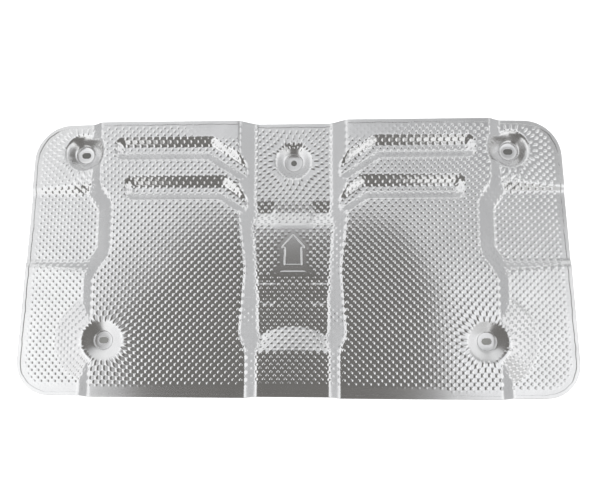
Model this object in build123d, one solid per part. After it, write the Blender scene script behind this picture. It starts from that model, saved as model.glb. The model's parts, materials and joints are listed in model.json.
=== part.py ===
# Exhaust heat shield: one stamped aluminium sheet with its edge folded over all round.
# Frame: X along the length, Y across it, Z up out of the visible side. The undersides of
# the centre seat and of the two upper seats lie in the plane Z = 0.

import os
from math import radians, tan

from build123d import *

# Sheet
sheet_thickness = 0.8
hem_width = 4.0

# Outline, a trapezium with rounded corners
plate_depth = 303.0
top_width = 592.0
bottom_width = 614.0
top_corner_radius = 42.0
bottom_corner_radius = 37.0

# Pressed walls: slope from level in degrees, and the rounding of the panels
wall_slope = 38.5
panel_edge_radius = 4.0
convex_corner_radius = 6.0
concave_corner_radius = 38.0

# Raised panels: height of the visible surface, and the places of their edges
panel_height = 24.0
shoulder_top_half = 224.0
shoulder_waist_half = 201.0
shoulder_bottom_half = 220.0
waist_top_y = 88.0
waist_bottom_y = 4.0
shoulder_bend_y = -24.0
channel_top_half = 60.0
channel_waist_half = 52.5
channel_low_half = 58.0
channel_bottom_half = 50.5
channel_bend_y = 45.0
channel_waist_y = -14.0
channel_low_y = -84.0
channel_bottom_y = -104.0

# Channel floor: places along Y and depths below the raised panels
upper_floor_depth = 14.5
upper_floor_end_y = 62.0
dip_depth = 16.0
dip_y = 48.0
step_depth = 11.4
step_y = 34.0
arrow_pad_depth = 10.2
arrow_pad_end_y = -21.0
ledge_depth = 11.8
ledge_start_y = -29.0
ledge_end_y = -32.0
low_ledge_depth = 14.0
low_ledge_start_y = -51.0
low_ledge_end_y = -54.0
low_floor_depth = 16.5
ramp_foot_y = -88.0
ramp_foot_middle_y = -74.0
ramp_foot_half = 40.0
ramp_top_y = -104.0
lower_floor_depth = 9.0

# Middle strip of the channel floor, flatter than its sides
spine_half_width = 16.0
spine_slope = 40.0
spine_end_y = -68.0
spine_end_depth = 15.0

# Side borders, which slope down to the edge, and the pads pressed into them
side_foot_height = 14.4
side_foot_half = 228.0
side_edge_height = 10.0
pad_height = 8.0
pad_top_y = 72.5
pad_bottom_y = -5.0
pad_inner_half = 214.0
pad_corner_radius = 20.0
pad_wall_slope = 30.0

# Grooves in the raised panels
groove_depth = 6.3
groove_floor_width = 9.0
groove_angle = 32.0
upper_groove_y = 120.3
upper_groove_bend = 93.0
upper_groove_end = 191.0
lower_groove_y = 74.8
lower_groove_bend = 79.5
lower_groove_end = 179.0

# Fixing cones and their flat seats
seat_radius = 9.5
seat_step_height = 1.2
seat_step_width = 1.0
centre_seat_y = 108.0
centre_cone_slope = 37.0
upper_seat_half = 241.6
upper_seat_y = 119.2
upper_cone_slope = 50.0
lower_seat_half = 205.8
lower_seat_y = -91.7
lower_seat_depth = 5.6
lower_cone_slope = 22.0
lower_collar_width = 3.0
lower_collar_slope = 20.0

# Holes
centre_hole_diameter = 6.6
slot_width = 6.8
slot_length = 10.5

# The pressing surface runs this far past the outline and below the seats
run_off = 40.0
die_depth = 30.0

half_depth = plate_depth / 2
far_y = half_depth + run_off
far_x = bottom_width / 2 + run_off
wall_draft = 90 - wall_slope


def face_of(*points):
    """Flat face inside a closed line of points."""
    return make_face(Polyline(*points, close=True))


def corner(face, x, y):
    """The corner of a flat face at a given point."""
    return face.vertices().sort_by_distance((x, y, 0))[0]


def outline_face(inset=0.0):
    """Outline of the sheet seen from above, drawn in by an inset."""
    half_top = top_width / 2
    half_bottom = bottom_width / 2
    face = face_of((-half_bottom, -half_depth), (half_bottom, -half_depth),
                   (half_top, half_depth), (-half_top, half_depth))
    face = fillet(face.vertices().group_by(Axis.Y)[0], bottom_corner_radius)
    face = fillet(face.vertices().group_by(Axis.Y)[-1], top_corner_radius)
    return offset(face, -inset) if inset else face


def raised_panel():
    """Right-hand raised panel, its walls spreading downwards and its upper edge rounded."""
    convex = [(channel_top_half, channel_bend_y), (channel_low_half, channel_low_y),
              (shoulder_bottom_half, shoulder_bend_y)]
    concave = [(channel_waist_half, channel_waist_y), (channel_bottom_half, channel_bottom_y),
               (shoulder_waist_half, waist_top_y), (shoulder_waist_half, waist_bottom_y)]
    face = face_of(
        (channel_top_half, far_y), (shoulder_top_half, far_y), concave[2], concave[3], convex[2],
        (shoulder_bottom_half, -far_y), (channel_bottom_half, -far_y), concave[1], convex[1], concave[0],
        convex[0])
    for point in convex:
        face = fillet(corner(face, *point), convex_corner_radius)
    for point in concave:
        face = fillet(corner(face, *point), concave_corner_radius)
    solid = extrude(Pos(0, 0, panel_height) * face, panel_height + sheet_thickness, dir=(0, 0, -1),
                    taper=-wall_draft)
    return fillet(solid.edges().group_by(Axis.Z)[-1], panel_edge_radius)


def channel_floor():
    """Floor of the channel between the panels, with its middle strip and its crescent ramp."""
    def level(depth):
        return panel_height - depth

    sides = face_of(
        (far_y, -die_depth), (far_y, level(upper_floor_depth)),
        (upper_floor_end_y, level(upper_floor_depth)), (dip_y, level(dip_depth)),
        (step_y, level(step_depth)), (channel_waist_y, level(arrow_pad_depth)),
        (arrow_pad_end_y, level(arrow_pad_depth)), (ledge_start_y, level(ledge_depth)),
        (ledge_end_y, level(ledge_depth)), (low_ledge_start_y, level(low_ledge_depth)),
        (low_ledge_end_y, level(low_ledge_depth)), (ramp_foot_y, level(low_floor_depth)),
        (ramp_top_y, level(lower_floor_depth)), (-far_y, level(lower_floor_depth)), (-far_y, -die_depth))
    floor = extrude(Plane.YZ * sides, channel_top_half + run_off, both=True)

    middle = face_of(
        (upper_floor_end_y, -die_depth), (upper_floor_end_y, level(upper_floor_depth)),
        (dip_y, level(upper_floor_depth)), (step_y, level(step_depth)),
        (channel_waist_y, level(arrow_pad_depth)), (spine_end_y, level(spine_end_depth)),
        (spine_end_y, -die_depth))
    spread = spine_half_width + (level(arrow_pad_depth) + die_depth) / tan(radians(spine_slope))
    strip = face_of((-spread, -die_depth), (spread, -die_depth), (spine_half_width, level(arrow_pad_depth)),
                    (-spine_half_width, level(arrow_pad_depth)))
    spine = extrude(Plane.YZ * middle, spread, both=True) & extrude(Plane.XZ * strip, far_y, both=True)
    return floor + spine + crescent_ramp(level(low_floor_depth), level(lower_floor_depth))


def crescent_ramp(low, high):
    """Ramp from an arc on the low floor up to a straight line on the lower floor."""
    rise = ramp_foot_middle_y - ramp_foot_y
    radius = (ramp_foot_half ** 2 + rise ** 2) / (2 * rise)
    half = (channel_low_half + ramp_foot_half) / 2
    side_y = ramp_foot_middle_y - radius + (radius ** 2 - half ** 2) ** 0.5
    back_y = ramp_top_y - run_off / 2
    arc = ThreePointArc((-half, side_y), (0, ramp_foot_middle_y), (half, side_y))
    foot = make_face([arc, Polyline((half, side_y), (half, back_y), (-half, back_y), (-half, side_y))])
    top = face_of((-half, ramp_top_y), (half, ramp_top_y), (half, back_y), (-half, back_y))
    return loft([Pos(0, 0, low) * foot, Pos(0, 0, high) * top], ruled=True)


def side_border():
    """Right-hand border, sloping down to the edge, with the pad pressed into it."""
    edge_half = (top_width + bottom_width) / 4
    fall = (side_foot_height - side_edge_height) / (edge_half - side_foot_half)
    far_height = side_foot_height - fall * (far_x - side_foot_half)
    section = face_of((channel_top_half + run_off, -die_depth), (far_x, -die_depth), (far_x, far_height),
                      (side_foot_half, side_foot_height), (channel_top_half + run_off, side_foot_height))
    border = extrude(Plane.XZ * section, far_y, both=True)
    outer = far_x + run_off
    pad = face_of((pad_inner_half, pad_bottom_y), (outer, pad_bottom_y), (outer, pad_top_y),
                  (pad_inner_half, pad_top_y))
    for y in (pad_bottom_y, pad_top_y):
        pad = fillet(corner(pad, pad_inner_half, y), pad_corner_radius)
    pad_draft = 90 - pad_wall_slope
    return border - extrude(Pos(0, 0, pad_height) * pad, panel_height - pad_height, taper=-pad_draft)


def groove(y, bend, end):
    """Right-hand groove: a straight floor with a closed end, turning down into the channel."""
    half = groove_floor_width / 2
    miter = half * tan(radians(groove_angle / 2))
    inner = channel_waist_half - run_off
    drop = (bend - inner) * tan(radians(groove_angle))
    slant = half / tan(radians(90 - groove_angle))
    lift = (half ** 2 + slant ** 2) ** 0.5
    floor = face_of((end, y - half), (end, y + half), (bend - miter, y + half), (inner, y - drop + lift),
                    (inner, y - drop - lift), (bend + miter, y - half))
    return extrude(Pos(0, 0, panel_height - groove_depth) * floor, 2 * groove_depth, taper=-wall_draft)


def cone(x, y, seat_height, slope):
    """Cutter for a fixing cone: flat seat, small step, then the cone up past the panels."""
    step_radius = seat_radius + seat_step_width
    rise = panel_height + sheet_thickness - seat_height
    rim_radius = step_radius + (rise - seat_step_height) / tan(radians(slope))
    section = face_of((0, 0), (seat_radius, 0), (step_radius, seat_step_height), (rim_radius, rise), (0, rise))
    return Pos(x, y, seat_height) * revolve(Plane.XZ * section, Axis.Z)


def lower_collar():
    """Collar round the right-hand lower cone: level with the panel at the rim, then falling away."""
    rise = lower_seat_depth - seat_step_height
    rim_radius = seat_radius + seat_step_width + rise / tan(radians(lower_cone_slope))
    top_radius = rim_radius + lower_collar_width
    foot_radius = top_radius + panel_height / tan(radians(lower_collar_slope))
    section = face_of((0, 0), (foot_radius, 0), (top_radius, panel_height), (0, panel_height))
    return Pos(lower_seat_half, lower_seat_y) * revolve(Plane.XZ * section, Axis.Z)


def pressing_surface():
    """Solid whose upper face is the visible surface of the sheet, run past the outline."""
    half = raised_panel() + side_border() + lower_collar()
    half -= groove(upper_groove_y, upper_groove_bend, upper_groove_end)
    half -= groove(lower_groove_y, lower_groove_bend, lower_groove_end)
    half -= cone(upper_seat_half, upper_seat_y, sheet_thickness, upper_cone_slope)
    half -= cone(lower_seat_half, lower_seat_y, panel_height - lower_seat_depth, lower_cone_slope)
    surface = half + mirror(half, Plane.YZ) + channel_floor()
    return surface - cone(0, centre_seat_y, sheet_thickness, centre_cone_slope)


def heat_shield():
    """The sheet: pressing surface with its own copy below taken away, hem added, holes cut."""
    die = pressing_surface()
    tall = panel_height + die_depth
    whole = Pos(0, 0, -die_depth) * extrude(outline_face(), 2 * tall)
    inner = Pos(0, 0, -die_depth) * extrude(outline_face(hem_width), 2 * tall)
    hem = (Pos(0, 0, sheet_thickness) * die) & (whole - inner)
    sheet = (die & whole) + hem - Pos(0, 0, -sheet_thickness) * die

    slot = SlotOverall(slot_length, slot_width)
    for x in (-1, 1):
        for half, y in ((upper_seat_half, upper_seat_y), (lower_seat_half, lower_seat_y)):
            sheet -= Pos(x * half, y, -die_depth) * extrude(slot, 2 * tall)
    return sheet - Pos(0, centre_seat_y, -die_depth) * extrude(Circle(centre_hole_diameter / 2), 2 * tall)


def main():
    """Build the sheet and write it out."""
    os.makedirs("parts", exist_ok=True)
    shield = heat_shield()
    shield.label = "heat_shield"
    export_step(shield, "parts/heat_shield.step")


main()
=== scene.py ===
"""Exhaust heat shield: the pressed, embossed sheet, the arrow on it, and a pale studio round it.

Sizes are metres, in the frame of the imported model: X along the sheet, Y across it, Z up out of
the visible side. The sheet is a height above the plane of its seats, worked out over a grid.
"""
import json
from math import pi, radians

import bmesh
import bpy
import numpy as np
from bpy.props import FloatProperty, FloatVectorProperty, PointerProperty
from mathutils import Matrix, Vector


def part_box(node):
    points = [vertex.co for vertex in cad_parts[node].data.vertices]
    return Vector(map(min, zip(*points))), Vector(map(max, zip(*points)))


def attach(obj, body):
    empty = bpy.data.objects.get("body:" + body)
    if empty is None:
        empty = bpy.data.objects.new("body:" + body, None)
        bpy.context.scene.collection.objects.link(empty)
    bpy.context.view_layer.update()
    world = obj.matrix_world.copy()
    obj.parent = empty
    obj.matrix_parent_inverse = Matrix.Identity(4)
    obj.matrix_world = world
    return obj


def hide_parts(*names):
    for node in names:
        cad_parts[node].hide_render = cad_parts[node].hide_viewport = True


bl_info = {
    "name": "Exhaust heat shield",
    "version": (1, 0, 0),
    "blender": (4, 5, 0),
    "location": "View3D > Sidebar > Heat shield",
    "description": "Embossed aluminium heat shield, its direction arrow and a pale studio",
    "category": "Add Mesh",
}

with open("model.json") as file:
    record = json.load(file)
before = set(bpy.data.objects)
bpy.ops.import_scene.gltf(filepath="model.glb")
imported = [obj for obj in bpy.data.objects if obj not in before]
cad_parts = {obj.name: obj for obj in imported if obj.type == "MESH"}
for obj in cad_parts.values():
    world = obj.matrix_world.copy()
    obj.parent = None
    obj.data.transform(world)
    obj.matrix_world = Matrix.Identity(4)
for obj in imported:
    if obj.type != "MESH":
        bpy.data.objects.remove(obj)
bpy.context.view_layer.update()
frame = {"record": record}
NODE = "heat_shield"
BODY = "root"
NODE_LOW, NODE_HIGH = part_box(NODE)
MOUNTS = {mount["name"]: mount for mount in frame["record"]["mounts"]}
MM = 0.001
THICKNESS = 0.8 * MM

# Cells to a pitch of the dimples, in the table of the form, in the mesh and in a slope's measure
TABLE_CELLS = 12
MESH_CELLS = 4
SLOPE_CELLS = 20

# How far the arrow's own table of the form reaches past it, and how many points short of its end a
# table is read
TABLE_MARGIN = 10 * MM
TABLE_END = 1.001
TINY = 1e-9

# How near to the middle a groove's floor runs on over the channel, in half widths of the channel
GROOVE_RUN = 0.25

# Length along X, length along Y, phase and share of each slow wave of the sheet
SLACK_WAVES = ((143 * MM, 231 * MM, 0.7, 1.0),
               (262 * MM, -117 * MM, 2.1, 1.0),
               (83 * MM, 301 * MM, 4.0, 0.6))

# Length along the edge, phase and share of each wave of the fold's inner edge
HEM_WAVES = ((47 * MM, 0.0, 1.0), (19.3 * MM, 1.2, 0.7), (13.1 * MM, 3.0, 0.5))

# Rounded outer edge of the fold: inset and height of its rows, in thicknesses
FOLD_ROUND = ((1.1, 1.0), (0.6, 0.92), (0.1, 0.4), (0.1, -0.4), (0.75, -1.0))

# Rim of a cone's plain part, in radii of its seat
CONE_RIM = 2.15

# Rings of mesh in a cone: the outer one by its share of the way out from the foot of the seat's
# step, the others by their distance from that foot in widths of the step
OUTER_RING = 0.55
STEP_RINGS = (0.3, -0.15, -0.5, -0.85, -1.3)

# Rounding of a hole's upper rim, outwards and down, in thicknesses
RIM_OUT = 0.35
RIM_DOWN = 0.3

# Steepness under which the sheet faces no way
LEVEL = 0.01

# Where ironing fades: by the steepness of a wall, by the distance from the edge in widths of its
# plain strip, from a cone in radii of its rim, and from the arrow in widths of its margin
WALL_FADE = (0.72, 0.79)
EDGE_FADE = (0.8, 1.3)
CONE_FADE = (0.95, 1.1)
ARROW_FADE = (0.3, 1.0)

# Where the plain strip at the edge changes its width, in widths and depths of the sheet
CORNER_CHANGE = (0.245, 0.29)
TOP_CHANGE = (0.4, 0.46)

# Plain strips at the panels' upper edge: where their inner, outer and lower edges fade in
STRIP_INNER = (58 * MM, 61 * MM)
STRIP_OUTER = (138 * MM, 100 * MM)
STRIP_LOWER = (129 * MM, 134 * MM)

# Points along a bar and across a rib, the foot's share of a rib's width, and a bar's blunt ends
BAR_POINTS = 25
RIB_POINTS = 9
RIB_FOOT = 0.9
BAR_TAPER = 0.999
BAR_BLUNTNESS = 8

# Angles past which edges stay sharp
SHEET_SHARP = radians(62)
BAR_SHARP = radians(50)

# Dark flag: points each way, part of its length over which it bends down, places along Y where it
# flares, narrows and widens, where its edge softens in half widths, and how square its end is
FLAG_POINTS = 61
FLAG_BEND = (0.5, 1.0)
FLARE_LEFT = (-0.665, -0.71)
FLARE_RIGHT = (-0.7, -0.745)
NARROW_FROM = (-0.5, -0.6)
WIDE_FROM = (-0.14, -0.04)
SOFT_FROM = (0.3, 0.8)
SQUARE_LEFT = 2
SQUARE_RIGHT = 3

# Light all round: height of a direction at each stop, and the colour there
SKY_STOPS = ((0.3, "horizon"), (0.5, "haze"), (0.64, "bright"), (0.8, "bright"), (0.92, "sky"))

# Parts of the light: coordinates of a direction, and the range over which each comes in
FRONT_SIDE = (("Y", -0.3, -0.55),)
LEFT_SIDE = (("X", -0.6, -0.8), ("Z", 0.25, 0.42))
RIGHT_SIDE = (("X", 0.62, 0.78), ("Z", 0.42, 0.52))
BACK_ABOVE = (("Y", 0.0, 0.28), ("Z", 0.55, 0.8))
BACK_RIGHT = (("X", -0.05, 0.3), ("Y", 0.0, 0.14), ("Z", 0.55, 0.8))
FRONT_RIGHT = (("X", 0.12, 0.27), ("Y", -0.25, -0.45), ("Z", 0.48, 0.58))


def mount_size(name, key):
    """A size of one of the record's mounts, in metres."""
    return MOUNTS[name]["dims"][key] * MM


def mount_place(name, axis):
    """A coordinate of one of the record's mounts, in metres."""
    return MOUNTS[name]["pos_m"][axis]


def length(label, note, value):
    """A size or a place in metres, for the sidebar."""
    return FloatProperty(name=label, description=note, default=value, unit="LENGTH", precision=4)


def slope(label, note, degrees):
    """A slope from level or another angle, given here in degrees, for the sidebar."""
    return FloatProperty(name=label, description=note, default=radians(degrees), subtype="ANGLE")


def share(label, note, value):
    """A share from 0 to 1, for the sidebar."""
    return FloatProperty(name=label, description=note, default=value, min=0, max=1, subtype="FACTOR")


def number(label, note, value, least=0):
    """A plain number for the sidebar."""
    return FloatProperty(name=label, description=note, default=value, min=least)


def colour(label, note, value):
    """A colour for the sidebar."""
    return FloatVectorProperty(name=label, description=note, default=value, size=3, min=0, max=1,
                               subtype="COLOR")


def place(label, note, value):
    """A point for the sidebar."""
    return FloatVectorProperty(name=label, description=note, default=value, size=3,
                               subtype="TRANSLATION")


class ShieldOutline(bpy.types.PropertyGroup):
    """The sheet and its outline, a trapezium with rounded corners and a folded edge."""

    thickness: length("Thickness", "Thickness of the sheet", THICKNESS)
    depth: length("Depth", "Size across the sheet", NODE_HIGH[1] - NODE_LOW[1])
    top_width: length("Top width", "Width of the trapezium at its upper edge", 592 * MM)
    bottom_width: length("Bottom width", "Width of the trapezium at its lower edge", 614 * MM)
    top_corner: length("Top corner", "Radius of the two upper corners", 42 * MM)
    bottom_corner: length("Bottom corner", "Radius of the two lower corners", 37 * MM)
    hem_width: length("Hem width", "How far the folded edge reaches in", 4 * MM)
    hem_lean: length("Hem lean", "How far the inner edge of the fold leans out", 0.05 * MM)
    hem_lip: length("Hem lip", "Width of the fold's lip, which wanders with its inner edge", 0.4 * MM)
    hem_wander: length("Hem wander", "How far the inner edge of the fold wanders", 0.55 * MM)
    rim_width: length("Rim width", "Strip at the edge that is made along the outline", 8 * MM)


class ShieldPanels(bpy.types.PropertyGroup):
    """The two raised panels and the slope of the pressed walls."""

    height: length("Height", "Height of the visible side of the panels", NODE_HIGH[2] - THICKNESS)
    wall_slope: slope("Wall slope", "Slope of the pressed walls from level", 38.5)
    bend_radius: length("Bend radius", "Radius of the pressed bends", 4.5 * MM)
    convex_corner: length("Convex corner", "Radius of outward corners of a panel", 6 * MM)
    concave_corner: length("Concave corner", "Radius of inward corners of a panel", 38 * MM)
    shoulder_top: length("Shoulder top", "Half width over the panels beside the upper cones", 216 * MM)
    shoulder_foot: length("Shoulder foot", "Lower end of that stretch", 82 * MM)
    upper_corner: length("Upper corner", "Radius of the bends at each end of the slant below it", 16 * MM)
    waist_top: length("Waist top", "Upper end of the waist", 59 * MM)
    shoulder_waist: length("Shoulder waist", "Half width over the panels at the waist", 201 * MM)
    waist_bottom: length("Waist bottom", "Lower end of the waist", 4 * MM)
    shoulder_bend: length("Shoulder bend", "Where the shoulder turns down below the waist", -24 * MM)
    shoulder_bottom: length("Shoulder bottom", "Half width over the panels at the lower edge", 220 * MM)
    channel_top: length("Channel top", "Half width of the channel at the upper edge", 60 * MM)
    channel_waist: length("Channel waist", "Half width of the channel at its waist", 52.5 * MM)
    channel_low: length("Channel low", "Half width of the channel beside the ramp", 58 * MM)
    channel_bottom: length("Channel bottom", "Half width of the channel at the lower edge", 50.5 * MM)
    channel_bend_y: length("Channel bend", "Where the channel starts to narrow", 45 * MM)
    channel_waist_y: length("Channel waist place", "Where the channel is at its waist", -14 * MM)
    channel_low_y: length("Channel low place", "Where the channel is wide again", -84 * MM)
    channel_bottom_y: length("Channel bottom place", "Where the channel ends its last taper", -104 * MM)


class ShieldChannel(bpy.types.PropertyGroup):
    """Floor of the channel: places along Y, and depths below the panels."""

    upper_depth: length("Upper floor depth", "Depth of the floor round the middle cone", 14.5 * MM)
    upper_end: length("Upper floor end", "Lower end of the upper floor", 62 * MM)
    dip_depth: length("Dip depth", "Depth at the foot of the step", 16 * MM)
    dip_place: length("Dip place", "Foot of the step", 48 * MM)
    step_depth: length("Step depth", "Depth at the top of the step", 11.4 * MM)
    step_place: length("Step place", "Top of the step", 34 * MM)
    pad_depth: length("Arrow pad depth", "Depth of the low end of the arrow's pad", 10.2 * MM)
    pad_end: length("Arrow pad end", "Low end of the arrow's pad", -21 * MM)
    ledge_depth: length("Ledge depth", "Depth of the ledge beside the spine", 12.1 * MM)
    ledge_start: length("Ledge start", "Upper end of the ledge", -28 * MM)
    ledge_end: length("Ledge end", "Lower end of the ledge", -32 * MM)
    ledge_rise: length("Ledge rise", "How much a ledge rises from its upper to its lower end", 1 * MM)
    low_ledge_depth: length("Low ledge depth", "Depth of the second ledge", 14.3 * MM)
    low_ledge_start: length("Low ledge start", "Upper end of the second ledge", -50 * MM)
    low_ledge_end: length("Low ledge end", "Lower end of the second ledge", -54 * MM)
    low_depth: length("Low floor depth", "Depth at the foot of the ramp", 16.5 * MM)
    ramp_foot: length("Ramp foot", "Foot of the ramp at the sides", -88 * MM)
    ramp_middle: length("Ramp middle", "Foot of the ramp at the middle", -70 * MM)
    ramp_half: length("Ramp half", "Half width over which the foot of the ramp bows", 36 * MM)
    ramp_top: length("Ramp top", "Top of the ramp", -104 * MM)
    lower_depth: length("Lower floor depth", "Depth of the floor below the ramp", 9 * MM)
    spine_half: length("Spine half width", "Half width of the raised middle strip", 16 * MM)
    spine_slope: slope("Spine slope", "Slope of the sides of the middle strip", 40)
    spine_end: length("Spine end", "Lower end of the middle strip", -68 * MM)
    spine_dip_depth: length("Spine dip depth", "Depth of that strip at the foot of the step", 14.75 * MM)
    spine_end_depth: length("Spine end depth", "Depth of that strip at its lower end", 15 * MM)


class ShieldBorders(bpy.types.PropertyGroup):
    """Side borders, which slope down to the edge, and the pads pressed into them."""

    foot_height: length("Foot height", "Height at the foot of the shoulder walls", 14.4 * MM)
    foot_half: length("Foot half width", "Half width at the foot of the shoulder walls", 228 * MM)
    edge_height: length("Edge height", "Height at the side edge", 10 * MM)
    pad_height: length("Pad height", "Height of the pads", 8 * MM)
    pad_top: length("Pad top", "Upper end of a pad", 72.5 * MM)
    pad_bottom: length("Pad bottom", "Lower end of a pad", -5 * MM)
    pad_inner: length("Pad inner half", "Half width between the pads", 214 * MM)
    pad_corner: length("Pad corner", "Radius of a pad's corners", 20 * MM)
    pad_slope: slope("Pad slope", "Slope of a pad's walls from level", 30)


class ShieldGrooves(bpy.types.PropertyGroup):
    """Grooves in the panels, each straight and then turning down into the channel."""

    depth: length("Depth", "Depth of the grooves", 6.3 * MM)
    floor_width: length("Floor width", "Width of a groove's floor", 9 * MM)
    turn: slope("Turn", "Turn of a groove towards the channel", 32)
    upper_place: length("Upper place", "Middle of the upper grooves", 120.3 * MM)
    upper_bend: length("Upper bend", "Half width at the bend of the upper grooves", 93 * MM)
    upper_end: length("Upper end", "Half width at the closed end of the upper grooves", 191 * MM)
    lower_place: length("Lower place", "Middle of the lower grooves", 74.8 * MM)
    lower_bend: length("Lower bend", "Half width at the bend of the lower grooves", 79.5 * MM)
    lower_end: length("Lower end", "Half width at the closed end of the lower grooves", 179 * MM)


class ShieldCones(bpy.types.PropertyGroup):
    """Fixing cones, their flat seats and the holes in them."""

    seat_radius: length("Seat radius", "Radius of the flat seats", 9.5 * MM)
    step_height: length("Step height", "Height of the small step round a seat", 1.2 * MM)
    step_width: length("Step width", "Width of the small step round a seat", 1 * MM)
    patch_radius: length("Patch radius", "Radius of the rings of mesh round a hole", 14 * MM)
    centre_slope: slope("Centre slope", "Slope of the centre cone from level", 37)
    upper_slope: slope("Upper slope", "Slope of the upper cones from level", 50)
    lower_slope: slope("Lower slope", "Slope of the lower cones from level", 22)
    collar_width: length("Collar width", "Level strip round the rim of a lower cone", 3 * MM)
    collar_slope: slope("Collar slope", "Slope outside that strip", 20)
    centre_y: length("Centre place", "Middle of the centre cone", mount_place("centre_hole", 1))
    upper_x: length("Upper half span", "Half the span of the upper slots",
                    mount_size("upper_slots", "spacing_x_mm") / 2)
    upper_y: length("Upper place", "Middle of the upper slots", mount_place("upper_slots", 1))
    lower_x: length("Lower half span", "Half the span of the lower slots",
                    mount_size("lower_slots", "spacing_x_mm") / 2)
    lower_y: length("Lower place", "Middle of the lower slots", mount_place("lower_slots", 1))
    lower_depth: length("Lower seat depth", "Depth of the lower seats below the panels", 5.6 * MM)
    hole_radius: length("Hole radius", "Radius of the centre hole", mount_size("centre_hole", "r_mm"))
    slot_radius: length("Slot radius", "Half the width of a slot", mount_size("upper_slots", "hole_r_mm"))
    slot_length: length("Slot length", "Length of a slot", mount_size("upper_slots", "slot_length_mm"))


class ShieldEmboss(bpy.types.PropertyGroup):
    """The fine dimples of the sheet, its slow waves and the puckers beside the pads."""

    pitch: length("Pitch", "Distance along X or Y after which the dimples repeat", 7.8 * MM)
    height: length("Height", "Height of a dimple", 0.45 * MM)
    ground: number("Ground", "Level of the wave below which the sheet is flat", -0.1, -1)
    power: number("Power", "Power that eases the foot of a dimple", 1.4, 1)
    drawn: length("Drawn in", "How far the dimples at the rim of a cone have been drawn in", 8.5 * MM)
    drawn_reach: length("Drawn reach", "Distance over which that fades", 11 * MM)
    slack: length("Slack", "Height of the sheet's slow waves", 0.22 * MM)
    pucker: length("Pucker", "Height of the puckers", 0.7 * MM)
    pucker_lift: length("Pucker lift", "How far above a pad's upper end they are", 8 * MM)
    pucker_width: length("Pucker width", "How far they reach along X", 13 * MM)
    pucker_depth: length("Pucker depth", "How far they reach along Y", 9 * MM)
    pucker_pitch: length("Pucker pitch", "Distance along Y from one to the next", 8 * MM)
    pucker_slant: number("Pucker slant", "How much they climb along Y on their way along X", 0.8)


class ShieldIroning(bpy.types.PropertyGroup):
    """Where pressing has ironed the dimples out, and where it has left a share of them."""

    wall_share: share("Share on walls", "Share of the dimples left on parts of the pressed walls", 0.58)
    wall_patch: length("Wall patch", "Middle of such a part of the channel's walls", -65 * MM)
    wall_reach: length("Wall patch reach", "How far it reaches along Y", 9 * MM)
    low_patch: length("Low patch", "Middle of the next such part", -119 * MM)
    low_reach: length("Low patch reach", "How far that one reaches along Y", 17 * MM)
    crisp_share: share("Crisp share", "Share left in a patch of the channel's +X wall", 0.9)
    crisp_patch: length("Crisp patch", "Middle of that patch", 10 * MM)
    crisp_reach: length("Crisp patch reach", "How far that patch reaches along Y", 20 * MM)
    border: length("Plain border", "Width of the ironed strip along the side edges", 9 * MM)
    top_border: length("Plain upper border", "Its width along the upper edge", 5.5 * MM)
    bottom_border: length("Plain lower border", "Its width along the lower edge", 12.5 * MM)
    corner_border: length("Plain corner border", "Its width there near the +X corner", 6.5 * MM)
    centre_oval: number("Centre oval", "How much nearer dimples come to the centre hole along Y", 1.3, 1)
    strip_share: share("Strip share", "Share ironed out in strips at the panels' upper edge", 0.85)


class ShieldArrow(bpy.types.PropertyGroup):
    """Plain direction arrow: ribs pressed up out of the channel floor, with a bar at each end."""

    tip: length("Tip", "Place of the arrow's tip", 24 * MM)
    shoulder: length("Shoulder", "Place of the arrow's shoulders", 9.6 * MM)
    foot: length("Foot", "Place of the arrow's foot", -9.3 * MM)
    head_half: length("Head half width", "Half width of the arrow's head", 12.8 * MM)
    shaft_half: length("Shaft half width", "Half width of the arrow's shaft", 9.2 * MM)
    corner: length("Corner", "Radius of the arrow's corners", 0.8 * MM)
    upper_bar: length("Upper bar", "Place of the upper bar", 34.6 * MM)
    lower_bar: length("Lower bar", "Place of the lower bar", -17.4 * MM)
    bar_half: length("Bar half length", "Half length of a bar", 14.5 * MM)
    rib_width: length("Rib width", "Width of the arrow's rib", 2.6 * MM)
    rib_height: length("Rib height", "Height of the arrow's rib", 0.5 * MM)
    bar_width: length("Bar width", "Width of a bar", 3.6 * MM)
    bar_height: length("Bar height", "Height of the lower bar", 0.28 * MM)
    upper_bar_height: length("Upper bar height", "Height of the upper bar", 0.08 * MM)
    rib_depth: length("Rib depth", "How far the ribs and bars go below the surface", 0.4 * MM)
    margin: length("Margin", "Ironed margin round the arrow", 11 * MM)
    outer_margin: number("Outer margin", "How many times narrower it is outside the bars", 2.2, 1)


class ShieldFinish(bpy.types.PropertyGroup):
    """Colours and roughness of the metal."""

    bright: colour("Bright metal", "Colour of the bright rolled metal", (0.90, 0.90, 0.90))
    dull: colour("Dull metal", "Colour where the metal is handled and dull", (0.74, 0.74, 0.74))
    dull_share: share("Dull share", "Greatest share of the dull colour on the sheet", 0.45)
    edge_dull_share: share("Edge dull share", "Greatest share of it on the folded edge", 0.6)
    roughness: share("Roughness", "Roughness of the dimpled metal", 0.1)
    ironed_roughness: share("Ironed roughness", "Roughness where the dimples are ironed out", 0.18)
    scuff_roughness: share("Scuff roughness", "Roughness that scuffs add", 0.08)
    cloud_roughness: share("Cloud roughness", "Roughness that clouds of tone add", 0.06)
    grain: length("Grain", "Height of the rolling grain on the sheet", 0.003 * MM)
    edge_grain: length("Edge grain", "Height of the grain on the folded edge", 0.004 * MM)


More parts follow.
